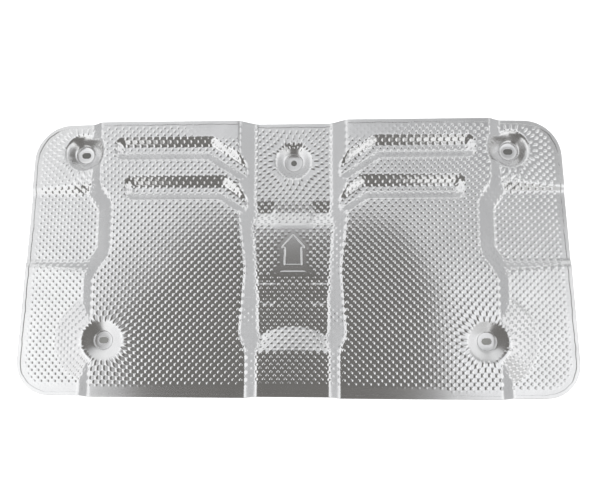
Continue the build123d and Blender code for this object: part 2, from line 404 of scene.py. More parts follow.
class ShieldStage(bpy.types.PropertyGroup):
    """Floor, light and camera."""

    floor_colour: colour("Floor colour", "Colour of the floor", (0.95, 0.95, 0.95))
    floor_roughness: share("Floor roughness", "Roughness of the floor", 0.9)
    floor_half: length("Floor half size", "Half the size of the floor", 15)
    # Painted shadow on the floor under the sheet, standing in for the shade the sheet casts: grey under
    # its front, near black under its back
    shade_front: colour("Shade in front", "Floor under the front of the sheet", (0.6, 0.6, 0.57))
    shade_back: colour("Shade behind", "Floor under the back of the sheet", (0.07, 0.07, 0.067))
    shade_half_x: length("Shade half width", "Half the shaded part's size along X", 0.27)
    shade_half_y: length("Shade half depth", "Half the shaded part's size along Y", 0.13)
    floor_light: number("Floor light", "Strength of the lamp over the floor", 4)
    lamp_spread: slope("Lamp spread", "Angle over which that lamp is spread", 110)
    sky_strength: number("Sky strength", "Strength of the light all round", 1.12)
    sky: colour("Sky", "Colour of the light from above", (0.82, 0.825, 0.84))
    bright: colour("Bright", "Colour of the light round the part above", (0.99, 0.995, 1.0))
    haze: colour("Haze", "Colour of the light from half way up", (0.505, 0.508, 0.515))
    horizon: colour("Horizon", "Colour of the light from low down", (0.468, 0.47, 0.478))
    front: colour("Front", "Colour of the light from low down in front", (0.9, 0.9, 0.9))
    left: colour("Left", "Colour of the light from half way up on the left", (0.84, 0.84, 0.85))
    right: colour("Right", "Colour of the light from half way up on the right", (0.86, 0.86, 0.87))
    back_dim: share("Back dim", "How much less light comes from above at the back", 0.28)
    right_dim: share("Right dim", "How much less again comes from the back on the right", 0.29)
    front_dim: share("Front dim", "How much less light comes from high in front on the right", 0.4)
    flag_colour: colour("Flag colour", "Colour of the dark flag over the sheet", (0.165, 0.16, 0.153))
    flag_half: length("Flag half width", "Half the width of the flag's cloth", 0.9)
    flag_back: length("Flag back", "Where the cloth ends towards +Y", 0.3)
    flag_length: length("Flag length", "Size of the cloth along Y", 1.27)
    flag_drop: length("Flag drop", "How far the cloth bends down in front", 0.62)
    flag_middle: place("Flag middle", "Middle of the flag's round end", (-0.08, -0.18, 0.72))
    flag_left: length("Flag left", "Half width of the flag's round end towards -X", 0.405)
    flag_right: length("Flag right", "Half width of the flag's round end towards +X", 0.38)
    flag_reach: length("Flag reach", "How far the round end reaches towards +Y", 0.355)
    flag_narrowing: share("Flag narrowing", "How much narrower it is where grooves mirror it", 0.14)
    flag_flare: share("Flag flare", "How much wider it is low in front", 0.9)
    flag_widening: share("Flag widening", "How much wider its round end is towards -X", 0.1)
    flag_soft: share("Flag softness", "Width of its soft edge, in half widths", 0.06)
    flag_softer: share("Flag softness on the left", "How much wider that is far towards -X", 0.2)
    camera_place: place("Camera place", "Where the camera is", (0.0361, -0.0648, 0.6699))
    camera_aim: place("Camera aim", "Point in the middle of the picture", (0.0075, 0.0160, 0.0120))
    camera_up: place("Camera up", "Direction that is up in the picture", (0.0032, 0.9926, 0.1218))
    camera_lens: number("Camera lens", "Focal length in millimetres, and width of the sensor", 36)
    camera_near: length("Camera near", "Nearest that the camera sees", 10 * MM)


class ShieldSettings(bpy.types.PropertyGroup):
    """All sizes and colours of the heat shield and its stage."""

    outline: PointerProperty(type=ShieldOutline)
    panels: PointerProperty(type=ShieldPanels)
    channel: PointerProperty(type=ShieldChannel)
    borders: PointerProperty(type=ShieldBorders)
    grooves: PointerProperty(type=ShieldGrooves)
    cones: PointerProperty(type=ShieldCones)
    emboss: PointerProperty(type=ShieldEmboss)
    ironing: PointerProperty(type=ShieldIroning)
    arrow: PointerProperty(type=ShieldArrow)
    finish: PointerProperty(type=ShieldFinish)
    stage: PointerProperty(type=ShieldStage)


# Curves and distances

def smoothstep(low, high, value):
    """Ease from 0 at low to 1 at high: three times the square less twice the cube of the way."""
    way = np.clip((value - low) / (high - low), 0, 1)
    return way * way * (3 - 2 * way)


def bell(value, middle, reach):
    """Bell curve, 1 at its middle: e to the power of less the square of the way over its reach."""
    return np.exp(-((value - middle) / reach) ** 2)


def rounded(corners, radii, pieces=10):
    """Closed outline whose corners are arcs: each arc leaves its sides at radius over the tangent
    of half the corner's angle, and turns about a centre on the corner's bisector."""
    corners = np.asarray(corners, float)
    parts = []
    earlier, later = np.roll(corners, 1, 0), np.roll(corners, -1, 0)
    for before, here, after, radius in zip(earlier, corners, later, radii):
        if radius == 0:
            parts.append(here[None])
            continue
        back = (before - here) / np.linalg.norm(before - here)
        ahead = (after - here) / np.linalg.norm(after - here)
        half_angle = np.arccos(np.dot(back, ahead)) / 2
        bisector = (back + ahead) / np.linalg.norm(back + ahead)
        centre = here + bisector * radius / np.sin(half_angle)
        first = here + back * radius / np.tan(half_angle) - centre
        last = here + ahead * radius / np.tan(half_angle) - centre
        start = np.arctan2(first[1], first[0])
        turn = (np.arctan2(last[1], last[0]) - start + pi) % (2 * pi) - pi
        angles = start + turn * np.linspace(0, 1, pieces + 1)
        parts.append(centre + radius * np.stack([np.cos(angles), np.sin(angles)], 1))
    return np.concatenate(parts)


def outline_distance(x, y, outline):
    """Distance to a closed outline, negative inside, and the way along it to the nearest point.

    The distance is the least one to any side, and a point is inside when a line from it towards
    +X crosses an odd number of sides."""
    nearest = np.full(np.shape(x), np.inf)
    along = np.zeros(np.shape(x))
    inside = np.zeros(np.shape(x), bool)
    walked = 0.0
    for (ax, ay), (bx, by) in zip(outline, np.roll(outline, -1, 0)):
        run_x, run_y = bx - ax, by - ay
        side = np.hypot(run_x, run_y)
        way = np.clip(((x - ax) * run_x + (y - ay) * run_y) / side ** 2, 0, 1)
        distance = np.hypot(x - ax - way * run_x, y - ay - way * run_y)
        closer = distance < nearest
        nearest = np.where(closer, distance, nearest)
        along = np.where(closer, walked + way * side, along)
        if run_y != 0:
            inside ^= ((ay <= y) != (by <= y)) & (x < ax + (y - ay) * run_x / run_y)
        walked += side
    return np.where(inside, -nearest, nearest), along


def outline_points(outline, along):
    """Points of a closed outline at given ways along it, and the outward directions there."""
    closed = np.vstack([outline, outline[:1]])
    sides = np.diff(closed, axis=0)
    lengths = np.hypot(sides[:, 0], sides[:, 1])
    walked = np.concatenate([[0], np.cumsum(lengths)])
    normals = np.stack([sides[:, 1], -sides[:, 0]], 1) / lengths[:, None]
    corner_normals = normals + np.roll(normals, 1, 0)
    corner_normals = np.vstack([corner_normals, corner_normals[:1]])
    way = np.mod(along, walked[-1])
    points = np.stack([np.interp(way, walked, closed[:, axis]) for axis in (0, 1)], 1)
    outward = np.stack([np.interp(way, walked, corner_normals[:, axis]) for axis in (0, 1)], 1)
    return points, outward / np.linalg.norm(outward, axis=1)[:, None]


def outline_length(outline):
    """Length of a closed outline."""
    return np.linalg.norm(outline - np.roll(outline, 1, 0), axis=1).sum()


# The pressed form

def sheet_outline(s):
    """Outline of the sheet seen from above, anticlockwise."""
    o = s.outline
    top, bottom, depth = o.top_width / 2, o.bottom_width / 2, o.depth / 2
    corners = [(top, depth), (-top, depth), (-bottom, -depth), (bottom, -depth)]
    return rounded(corners, [o.top_corner] * 2 + [o.bottom_corner] * 2, pieces=32)


def panel_outline(s, far):
    """Upper edge of the right-hand panel, run past the sheet above and below: each corner's place
    and radius."""
    p = s.panels
    corners = [
        (p.channel_top, far, 0),
        (p.channel_top, p.channel_bend_y, p.convex_corner),
        (p.channel_waist, p.channel_waist_y, p.concave_corner),
        (p.channel_low, p.channel_low_y, p.convex_corner),
        (p.channel_bottom, p.channel_bottom_y, p.concave_corner),
        (p.channel_bottom, -far, 0),
        (p.shoulder_bottom, -far, 0),
        (p.shoulder_bottom, p.shoulder_bend, p.convex_corner),
        (p.shoulder_waist, p.waist_bottom, p.concave_corner),
        (p.shoulder_waist, p.waist_top, p.upper_corner),
        (p.shoulder_top, p.shoulder_foot, p.upper_corner),
        (p.shoulder_top, far, 0)]
    return rounded([corner[:2] for corner in corners], [corner[2] for corner in corners], pieces=6)


def channel_height(half, y, s):
    """Floor of the channel: a profile along Y, the higher of it and the middle strip, whose sides
    slope down from its half width, and of it and the ramp, which rises from an arc to a line."""
    c, top = s.channel, s.panels.height
    places = [c.ramp_top, c.ramp_foot, c.low_ledge_end, c.low_ledge_start, c.ledge_end, c.ledge_start,
              c.pad_end, s.panels.channel_waist_y, c.step_place, c.dip_place, c.upper_end]
    depths = [c.lower_depth, c.low_depth, c.low_ledge_depth - c.ledge_rise, c.low_ledge_depth,
              c.ledge_depth - c.ledge_rise, c.ledge_depth, c.pad_depth, c.pad_depth, c.step_depth,
              c.dip_depth, c.upper_depth]
    floor = top - np.interp(y, places, depths)
    crest_depths = [c.spine_end_depth, c.pad_depth, c.step_depth, c.spine_dip_depth, c.upper_depth]
    crest = top - np.interp(y, [c.spine_end] + places[-4:], crest_depths)
    flank = top - c.pad_depth - np.tan(c.spine_slope) * np.maximum(half - c.spine_half, 0)
    spine = np.where((y > c.spine_end) & (y < c.upper_end), np.minimum(crest, flank), floor)
    rise = c.ramp_middle - c.ramp_foot
    bow = (c.ramp_half ** 2 + rise ** 2) / (2 * rise)
    foot = c.ramp_middle - bow + np.sqrt(np.maximum(bow ** 2 - half ** 2, 0))
    climb = np.clip((foot - y) / np.maximum(foot - c.ramp_top, MM), 0, 1)
    ramp = top - c.low_depth + climb * (c.low_depth - c.lower_depth)
    return np.maximum(np.maximum(floor, spine), np.where(y < c.ramp_middle, ramp, floor))


def border_height(half, y, s):
    """Side border: a plane that falls to the edge, and the lower of it and the pad's walls."""
    b, o = s.borders, s.outline
    edge = (o.top_width + o.bottom_width) / 4
    fall = (b.foot_height - b.edge_height) / (edge - b.foot_half)
    plane = b.foot_height - fall * np.maximum(half - b.foot_half, 0)
    inner, outer = b.pad_inner, o.bottom_width
    corners = [(inner, b.pad_bottom), (outer, b.pad_bottom), (outer, b.pad_top), (inner, b.pad_top)]
    pad = rounded(corners, [b.pad_corner, 0, 0, b.pad_corner], pieces=6)
    walls = b.pad_height + np.tan(b.pad_slope) * np.maximum(outline_distance(half, y, pad)[0], 0)
    return np.minimum(plane, walls)


def groove_height(half, y, middle, bend, end, s):
    """Groove: its floor, which turns and runs on over the channel, and walls that rise from the
    floor's outline by the wall slope times the distance."""
    g = s.grooves
    floor_half = g.floor_width / 2
    miter = floor_half * np.tan(g.turn / 2)
    inner = GROOVE_RUN * s.panels.channel_waist
    drop = (bend - inner) * np.tan(g.turn)
    lift = floor_half / np.cos(g.turn)
    low, high, turned = middle - floor_half, middle + floor_half, middle - drop
    floor = np.array([(end, low), (end, high), (bend - miter, high), (inner, turned + lift),
                      (inner, turned - lift), (bend + miter, low)])
    distance = outline_distance(half, y, floor)[0]
    return s.panels.height - g.depth + np.tan(s.panels.wall_slope) * np.maximum(distance, 0)


def cone_list(s):
    """Half span, place, height of the seat and slope of each kind of fixing cone."""
    c, seat = s.cones, s.outline.thickness
    return [(0.0, c.centre_y, seat, c.centre_slope), (c.upper_x, c.upper_y, seat, c.upper_slope),
            (c.lower_x, c.lower_y, s.panels.height - c.lower_depth, c.lower_slope)]


def cone_height(half, y, across, along, seat, cone_slope, s):
    """Cone by distance from its middle: level up to the top of the seat's step, then a straight
    flank."""
    c = s.cones
    outside = np.hypot(half - across, y - along) - c.seat_radius - c.step_width
    return seat + c.step_height + np.tan(cone_slope) * np.maximum(outside, 0)


def collar_height(half, y, s):
    """Collar round a lower cone: as high as the panel at the rim, then falling by its slope."""
    c = s.cones
    rim = c.seat_radius + c.step_width + (c.lower_depth - c.step_height) / np.tan(c.lower_slope)
    outside = np.hypot(half - c.lower_x, y - c.lower_y) - rim - c.collar_width
    return s.panels.height - np.tan(c.collar_slope) * np.maximum(outside, 0)


def pressed_form(half, y, s):
    """Sharp pressed form: the highest of floor, panel and collar, then the lower of that and each
    groove and cone. A panel falls from its edge by the wall slope times the distance."""
    g = s.grooves
    far = s.outline.depth
    wall = np.tan(s.panels.wall_slope)
    edge = outline_distance(half, y, panel_outline(s, far))[0]
    panel = s.panels.height - wall * np.maximum(edge, 0)
    under_panel = (s.panels.channel_top + s.panels.shoulder_waist) / 2
    floor = np.where(half < under_panel, channel_height(half, y, s), border_height(half, y, s))
    form = np.maximum(np.maximum(floor, panel), collar_height(half, y, s))
    form = np.minimum(form, groove_height(half, y, g.upper_place, g.upper_bend, g.upper_end, s))
    form = np.minimum(form, groove_height(half, y, g.lower_place, g.lower_bend, g.lower_end, s))
    for across, along, seat, cone_slope in cone_list(s):
        form = np.minimum(form, cone_height(half, y, across, along, seat, cone_slope, s))
    return form


def blurred(table, spread, spreads=3):
    """Table smoothed along both axes by a bell curve, its spread given in cells, cut off after a
    number of spreads."""
    reach = int(spreads * spread) + 1
    offsets = np.arange(-reach, reach + 1)
    weights = np.exp(-0.5 * (offsets / spread) ** 2)
    weights /= weights.sum()
    for axis in (0, 1):
        padding = [(reach, reach) if a == axis else (0, 0) for a in (0, 1)]
        wide = np.pad(table, padding, mode="edge")
        size = table.shape[axis]
        table = sum(w * np.take(wide, np.arange(k, k + size), axis) for k, w in enumerate(weights))
    return table


class FormTable:
    """Pressed form on a fine even grid, its bends rounded by a bell curve, read between the points.

    A bell curve of spread b rounds a bend of slope m to a radius of b times the root of two pi
    over m, which gives the spread from the bend radius."""

    def __init__(self, s, low, high):
        self.step = s.emboss.pitch / TABLE_CELLS
        self.low = np.asarray(low, float)
        counts = np.ceil((np.asarray(high) - self.low) / self.step).astype(int) + 1
        x = self.low[0] + self.step * np.arange(counts[0])
        y = self.low[1] + self.step * np.arange(counts[1])
        half, y = np.meshgrid(np.abs(x), y, indexing="ij")
        spread = s.panels.bend_radius * np.tan(s.panels.wall_slope) / np.sqrt(2 * pi)
        self.height = blurred(pressed_form(half, y, s), spread / self.step)
        self.rise_x, self.rise_y = np.gradient(self.height, self.step)

    def read(self, table, x, y):
        """Value between the four nearest points of a table."""
        u = np.clip((x - self.low[0]) / self.step, 0, table.shape[0] - TABLE_END)
        v = np.clip((y - self.low[1]) / self.step, 0, table.shape[1] - TABLE_END)
        i, j = u.astype(int), v.astype(int)
        u, v = u - i, v - j
        return ((1 - u) * ((1 - v) * table[i, j] + v * table[i, j + 1])
                + u * ((1 - v) * table[i + 1, j] + v * table[i + 1, j + 1]))


def slack_waves(x, y, s):
    """Slow waves of a thin sheet: the mean of crossed sines of unlike lengths, by their shares."""
    waves = sum(part * np.sin(2 * pi * (x / along_x + y / along_y) + phase)
                for along_x, along_y, phase, part in SLACK_WAVES)
    return s.emboss.slack * waves / sum(wave[-1] for wave in SLACK_WAVES)


def seat_recess(x, y, s):
    """Depth of the flat seats below the foot of their cones: the step's height, eased over its
    width."""
    c = s.cones
    nearest = np.full(np.shape(x), np.inf)
    for across, along, _, _ in cone_list(s):
        nearest = np.minimum(nearest, np.hypot(np.abs(x) - across, y - along))
    return c.step_height * (1 - smoothstep(c.seat_radius, c.seat_radius + c.step_width, nearest))


def base_height(form, x, y, s):
    """Height of the sheet without its dimples."""
    return form.read(form.height, x, y) + slack_waves(x, y, s) - seat_recess(x, y, s)


def ironed_share(form, x, y, inset, s):
    """Share of the dimples that is ironed out, the greatest of what these give: steep walls, less
    so where they face -Y and in bell-shaped patches down the channel, least in one on its +X wall;
    the edge; the cones, where dimples come nearer to the centre hole along Y; strips at the upper
    edge of the panels; the arrow and its bars, with a narrower margin on the bars' outer sides."""
    iron, a = s.ironing, s.arrow
    half = np.abs(x)
    rise_x, rise_y = form.read(form.rise_x, x, y), form.read(form.rise_y, x, y)
    steepness = np.hypot(rise_x, rise_y)
    facing_front = np.clip(rise_y / np.maximum(steepness, LEVEL), 0, 1)
    patches = bell(y, iron.wall_patch, iron.wall_reach) + bell(y, iron.low_patch, iron.low_reach)
    crisp = iron.crisp_share * np.where(x > 0, bell(y, iron.crisp_patch, iron.crisp_reach), 0)
    kept = np.maximum(iron.wall_share * np.maximum(facing_front, np.minimum(patches, 1)), crisp)
    steep = smoothstep(*WALL_FADE, steepness) * (1 - kept)

    corner = smoothstep(*CORNER_CHANGE, x / s.outline.bottom_width)
    bottom = iron.bottom_border - (iron.bottom_border - iron.corner_border) * corner
    upper = smoothstep(*TOP_CHANGE, y / s.outline.depth)
    side = iron.border - (iron.border - iron.top_border) * upper
    from_bottom = y + s.outline.depth / 2
    edge = 1 - smoothstep(*EDGE_FADE, np.minimum(inset / side, from_bottom / bottom))
    ironed = np.maximum(steep, edge)

    for across, along, _, _ in cone_list(s):
        narrower = 1 if across else iron.centre_oval
        distance = np.hypot(half - across, (y - along) * narrower) / s.cones.seat_radius
        ironed = np.maximum(ironed, 1 - smoothstep(*CONE_FADE, distance / CONE_RIM))
    strip = smoothstep(*STRIP_OUTER, half) * smoothstep(*STRIP_INNER, half) * smoothstep(*STRIP_LOWER, y)
    ironed = np.maximum(ironed, iron.strip_share * strip)

    beside = outline_distance(x, y, arrow_paths(s)[0])[0]
    for bar in (a.lower_bar, a.upper_bar):
        away = (y - bar) * np.where((y - bar) * bar > 0, a.outer_margin, 1)
        beside = np.minimum(beside, np.hypot(np.maximum(half - a.bar_half, 0), away))
    return np.maximum(ironed, 1 - smoothstep(*ARROW_FADE, beside / a.margin))


def puckers(x, y, s):
    """Small puckers at the upper inner corner of each pad: slanting sine waves under a bell curve
    along X times one along Y."""
    b, e = s.borders, s.emboss
    across = np.abs(x) - (b.pad_inner + b.pad_corner)
    along = y - (b.pad_top + e.pucker_lift)
    waves = np.sin(2 * pi * (along - e.pucker_slant * across) / e.pucker_pitch)
    return e.pucker * bell(across, 0, e.pucker_width) * bell(along, 0, e.pucker_depth) * waves


def drawn_places(x, y, s):
    """Where each point lay on the flat sheet: pressing a cone has drawn the metal round it inwards,
    most at the rim and less by an exponential of the distance outside it."""
    e, c = s.emboss, s.cones
    from_x, from_y = x.copy(), y.copy()
    for hole_x, hole_y, _, _ in holes(s):
        away_x, away_y = x - hole_x, y - hole_y
        distance = np.maximum(np.hypot(away_x, away_y), MM)
        outside = np.maximum(distance - CONE_RIM * c.seat_radius, 0)
        moved = e.drawn * np.exp(-outside / e.drawn_reach) / distance
        from_x += moved * away_x
        from_y += moved * away_y
    return from_x, from_y


def dimples(x, y, s):
    """Dimples: the product of a cosine along X and one along Y, flat below a level and raised to a
    power above it, so that the bumps stand like one colour of a chessboard."""
    e = s.emboss
    turn = 2 * pi / e.pitch
    product = np.cos(turn * x) * np.cos(turn * y)
    return e.height * np.clip((product - e.ground) / (1 - e.ground), 0, 1) ** e.power


def plain_height(form, x, y, s):
    """Height of the visible side without its dimples: the pressed form, its waves and puckers."""
    return base_height(form, x, y, s) + puckers(x, y, s)


def plain_normals(form, x, y, s):
    """Upward directions of the visible side without its dimples, from differences over a short
    step both ways along X and Y."""
    step = s.emboss.pitch / SLOPE_CELLS
    along_x = plain_height(form, x + step, y, s) - plain_height(form, x - step, y, s)
    along_y = plain_height(form, x, y + step, s) - plain_height(form, x, y - step, s)
    normals = np.column_stack([-along_x, -along_y, np.full(len(x), 2 * step)])
    return normals / np.linalg.norm(normals, axis=1)[:, None]


# The sheet's mesh

def holes(s):
    """Middle of each hole, and half the straight length and the radius of its slot shape."""
    c = s.cones
    straight = c.slot_length / 2 - c.slot_radius
    found = [(0.0, c.centre_y, 0.0, c.hole_radius)]
    for side in (-1, 1):
        found.append((side * c.upper_x, c.upper_y, straight, c.slot_radius))
        found.append((side * c.lower_x, c.lower_y, straight, c.slot_radius))
    return found


def slot_reach(angle, straight, radius):
    """Distance from the middle of a slot to its edge in each direction: to a straight side, or
    past that to the round end, whose middle lies half the straight length out."""
    across, up = np.abs(np.cos(angle)), np.abs(np.sin(angle))
    side = radius / np.maximum(up, TINY)
    end = straight * across + np.sqrt(np.maximum(radius ** 2 - (straight * up) ** 2, 0))
    return np.where(side * across <= straight, side, end)


def evened(way, whole, rounds=4):
    """Sorted ways along a closed loop, spaced out by taking each towards its two neighbours: a
    quarter of each and half of itself, a few times over."""
    for _ in range(rounds):
        before, after = np.roll(way, 1), np.roll(way, -1)
        before[0] -= whole
        after[-1] += whole
        way = (before + 2 * way + after) / 4
    return way


def strip_faces(rows):
    """Faces between neighbouring rows of points, each row a closed loop."""
    rows = np.asarray(rows)
    ahead = np.roll(rows, -1, 1)
    return np.stack([rows[:-1], rows[1:], ahead[1:], ahead[:-1]], -1).reshape(-1, 4)


def grid_faces(rows):
    """Four-sided faces between neighbouring points of a grid, in the grid's own rows."""
    return np.stack([rows[:-1, :-1], rows[1:, :-1], rows[1:, 1:], rows[:-1, 1:]], -1)


def triangles(quads):
    """Two triangles for each four-sided face."""
    return quads[:, [0, 1, 2, 0, 2, 3]].reshape(-1, 3)


def hem_rows(outline, way, form, s):
    """Rows of the folded edge, its section carried along the outline: inset and height of each row,
    from the plain strip up over the fold, whose inner edge wanders by a mean of sines, round the
    edge and back underneath. Their normals are zero, so that the mesh gives them."""
    o, t = s.outline, s.outline.thickness
    waves = sum(part * np.sin(2 * pi * way / along + phase) for along, phase, part in HEM_WAVES)
    wander = o.hem_wander * waves / sum(wave[-1] for wave in HEM_WAVES)
    section = [(o.hem_width, 0.0, 1), (o.hem_width - o.hem_lean, t, 1), (o.hem_width - o.hem_lip, t, 1)]
    section += [(inset * t, lift * t, 0) for inset, lift in FOLD_ROUND]
    points, outward = outline_points(outline, way)
    rows = []
    for inset, lift, loose in section:
        flat = points - (inset + loose * wander)[:, None] * outward
        heights = base_height(form, flat[:, 0], flat[:, 1], s) + lift
        rows.append((np.column_stack([flat, heights]), np.zeros((len(way), 3))))
    return rows


def hole_rows(middle_x, middle_y, straight, radius, angle, form, s):
    """Rows round a hole with their normals: rings in over the step and the seat to the hole's upper
    rim, a little rounded, then its lower rim, and every other ring out again underneath."""
    c, t = s.cones, s.outline.thickness
    foot = c.seat_radius + c.step_width
    rings = [foot + OUTER_RING * (c.patch_radius - foot)]
    rings += [foot + widths * c.step_width for widths in STEP_RINGS]
    edge = slot_reach(angle, straight, radius)
    section = [(ring, 0.0, 1) for ring in rings]
    section += [(edge + RIM_OUT * t, 0.0, 1), (edge, -RIM_DOWN * t, 0), (edge, -t, 0)]
    section += [(ring, -t, -1) for ring in rings[::-2]]
    rows = []
    for reach, lift, facing in section:
        x, y = middle_x + reach * np.cos(angle), middle_y + reach * np.sin(angle)
        points = np.column_stack([x, y, base_height(form, x, y, s) + lift])
        rows.append((points, facing * plain_normals(form, x, y, s)))
    return rows


def kept_cells(x, y, step, outline, s):
    """Which cells of a square grid are kept: those whose middle is further inside the outline than
    the rim's width and outside the rings round the holes."""
    cell_x, cell_y = x[:-1, :-1] + step / 2, y[:-1, :-1] + step / 2
    kept = outline_distance(cell_x, cell_y, outline)[0] < -s.outline.rim_width
    for hole_x, hole_y, _, _ in holes(s):
        kept &= np.hypot(cell_x - hole_x, cell_y - hole_y) > s.cones.patch_radius
    return kept


def border_loops(x, y, border, step, outline, form, s):
    """Moves the points on the grid's stepped borders, in place, onto a circle round each hole and
    onto the outline less the rim's width, evenly spaced. Gives each border's points in order, and
    the rows that go on from it, the outline's last."""
    loops = []
    free = border.copy()
    reach = s.cones.patch_radius
    for hole_x, hole_y, straight, radius in holes(s):
        near = np.flatnonzero(border & (np.hypot(x - hole_x, y - hole_y) < reach + 2 * step))
        free[near] = False
        angle = np.arctan2(y[near] - hole_y, x[near] - hole_x)
        order = np.argsort(angle)
        near, angle = near[order], evened(angle[order], 2 * pi)
        x[near] = hole_x + reach * np.cos(angle)
        y[near] = hole_y + reach * np.sin(angle)
        rows = hole_rows(hole_x, hole_y, straight, radius, angle, form, s)
        loops.append((near[::-1], [(points[::-1], facing[::-1]) for points, facing in rows]))
    edge = np.flatnonzero(free)
    way = outline_distance(x[edge], y[edge], outline)[1]
    order = np.argsort(way)
    edge, way = edge[order], evened(way[order], outline_length(outline))
    points, outward = outline_points(outline, way)
    x[edge], y[edge] = (points - s.outline.rim_width * outward).T
    return loops + [(edge, hem_rows(outline, way, form, s))]


def sheet_arrays(s):
    """Points, faces, share of the dimples, places on the flat sheet and plain normals of the sheet,
    and how many of the last faces are the folded edge's.

    A square grid, four cells to a dimple, keeps the cells inside the outline and outside the
    holes. A cell is two triangles, split one way and the other by turns. Heights give the visible
    side, and the same less the thickness the underside. Strips carried along the outline and round
    the holes join the two."""
    step = s.emboss.pitch / MESH_CELLS
    outline = sheet_outline(s)
    counts = np.ceil(np.abs(outline).max(0) / step).astype(int)
    x, y = np.meshgrid(*[step * np.arange(-n, n + 1) for n in counts], indexing="ij")
    form = FormTable(s, (x.min() - step, y.min() - step), (x.max() + step, y.max() + step))
    kept = kept_cells(x, y, step, outline, s)
    cells = grid_faces(np.pad(kept, 1))
    used, full = cells.any(-1), cells.all(-1)
    index = np.where(used, np.cumsum(used).reshape(used.shape) - 1, -1)
    x, y = x[used], y[used]
    loops = border_loops(x, y, ~full[used], step, outline, form, s)

    emboss = 1 - ironed_share(form, x, y, -outline_distance(x, y, outline)[0], s)
    from_x, from_y = drawn_places(x, y, s)
    z = plain_height(form, x, y, s) + emboss * dimples(from_x, from_y, s)
    normals = plain_normals(form, x, y, s)
    top = np.column_stack([x, y, z])
    below = np.column_stack([x, y, z - s.outline.thickness])
    flat_place = np.column_stack([from_x, from_y, z])
    quads = grid_faces(index)
    turned = np.indices(kept.shape).sum(0) + counts.sum()
    quads = np.where((turned % 2 == 0)[..., None], quads, np.roll(quads, -1, -1))[kept]
    upper = triangles(quads)

    blocks, facings = [top, below], [normals, -normals]
    faces = [upper, upper[:, ::-1] + len(top)]
    total = 2 * len(top)
    for loop, rows in loops:
        size = len(loop)
        made = [total + k * size + np.arange(size) for k in range(len(rows))]
        faces.append(triangles(strip_faces([loop] + made + [loop + len(top)])))
        blocks += [points for points, _ in rows]
        facings += [facing for _, facing in rows]
        total += size * len(rows)
    strips = total - 2 * len(top)
    return {"points": np.concatenate(blocks), "faces": np.concatenate(faces), "folded": len(faces[-1]),
            "emboss": np.concatenate([emboss, -emboss, np.zeros(strips)]),
            "flat_place": np.concatenate([flat_place, flat_place] + blocks[2:]),
            "normals": np.concatenate(facings)}


# The arrow's ribs

def arrow_paths(s):
    """The arrow's outline as a closed path, and the two bars as open ones."""
    a = s.arrow
    right = [(a.shaft_half, a.foot), (a.shaft_half, a.shoulder), (a.head_half, a.shoulder)]
    corners = right + [(0.0, a.tip)] + [(-x, y) for x, y in right[::-1]]
    arrow = rounded(corners, [a.corner] * len(corners), pieces=4)
    across = np.linspace(-a.bar_half, a.bar_half, BAR_POINTS)
    bars = [np.column_stack([across, np.full(BAR_POINTS, y)]) for y in (a.lower_bar, a.upper_bar)]
    return arrow, bars


def rib_arrays(path, closed, width, height, form, s):
    """A soft section carried along a path on the sheet: it rises by half of one plus the cosine of
    the way across, and its foot is below the surface. Open paths taper at the ends, by the root of
    one less a high power of the way along."""
    ahead, behind = np.roll(path, -1, 0), np.roll(path, 1, 0)
    if not closed:
        ahead[-1], behind[0] = path[-1], path[0]
    run = ahead - behind
    run /= np.linalg.norm(run, axis=1)[:, None]
    sideways = np.stack([run[:, 1], -run[:, 0]], 1)
    across = np.linspace(1, -1, RIB_POINTS)
    side = np.concatenate([across, [-RIB_FOOT, RIB_FOOT]]) * width / 2
    up = np.concatenate([(1 + np.cos(pi * across)) / 2 * height, [-s.arrow.rib_depth] * 2])
    count = len(path)
    swell = np.ones(count)
    if not closed:
        way = np.linspace(-1, 1, count)
        swell = np.sqrt(1 - BAR_TAPER * way ** BAR_BLUNTNESS)
    flat = path[:, None, :] + (swell[:, None] * side)[..., None] * sideways[:, None, :]
    ground = base_height(form, flat[..., 0], flat[..., 1], s)
    points = np.concatenate([flat, (ground + swell[:, None] * up)[..., None]], -1).reshape(-1, 3)
    size = len(side)
    rows = np.arange(count * size).reshape(count, size)
    if closed:
        rows = np.vstack([rows, rows[:1]])
    faces = strip_faces(rows)
    caps = [] if closed else [rows[0][::-1].tolist(), rows[-1].tolist()]
    return points, faces, caps


# Meshes and materials

def add_piece(name, points, faces):
    """New object at the origin with a smooth, outward-facing mesh."""
    mesh = bpy.data.meshes.new(name)
    mesh.from_pydata(points.tolist(), [], faces)
    mesh.update()
    shell = bmesh.new()
    shell.from_mesh(mesh)
    if shell.calc_volume(signed=True) < 0:
        bmesh.ops.reverse_faces(shell, faces=shell.faces)
    shell.to_mesh(mesh)
    shell.free()
    mesh.shade_smooth()
    piece = bpy.data.objects.new(name, mesh)
    bpy.context.scene.collection.objects.link(piece)
    return piece


def feed(tree, socket, value):
    """Give an input a fixed value, or link it to an output."""
    if isinstance(value, bpy.types.NodeSocket):
        tree.links.new(value, socket)
    else:
        socket.default_value = value


def node(tree, kind, **values):
    """New shader node with its settings and, by socket name, its inputs."""
    new = tree.nodes.new(kind)
    for key, value in values.items():
        if key in new.bl_rna.properties:
            setattr(new, key, value)
        else:
            feed(tree, new.inputs[key.replace("_", " ")], value)
    return new


def maths(tree, operation, *values):
    """Output of a new node that works out one operation on outputs or numbers."""
    new = node(tree, "ShaderNodeMath", operation=operation)
    for socket, value in zip(new.inputs, values):
        feed(tree, socket, value)
    return new.outputs["Value"]


def node_group(name, numbers, results):
    """New node group that takes a vector and numbers, given with their defaults, and gives results;
    its inner ends are returned too."""
    group = bpy.data.node_groups.new(name, "ShaderNodeTree")
    socket = group.interface.new_socket
    socket("Vector", in_out="INPUT", socket_type="NodeSocketVector")
    for label, value in numbers.items():
        socket(label, in_out="INPUT", socket_type="NodeSocketFloat").default_value = value
    for label in results:
        socket(label, in_out="OUTPUT", socket_type="NodeSocketFloat")
    return group, node(group, "NodeGroupInput").outputs, node(group, "NodeGroupOutput").inputs


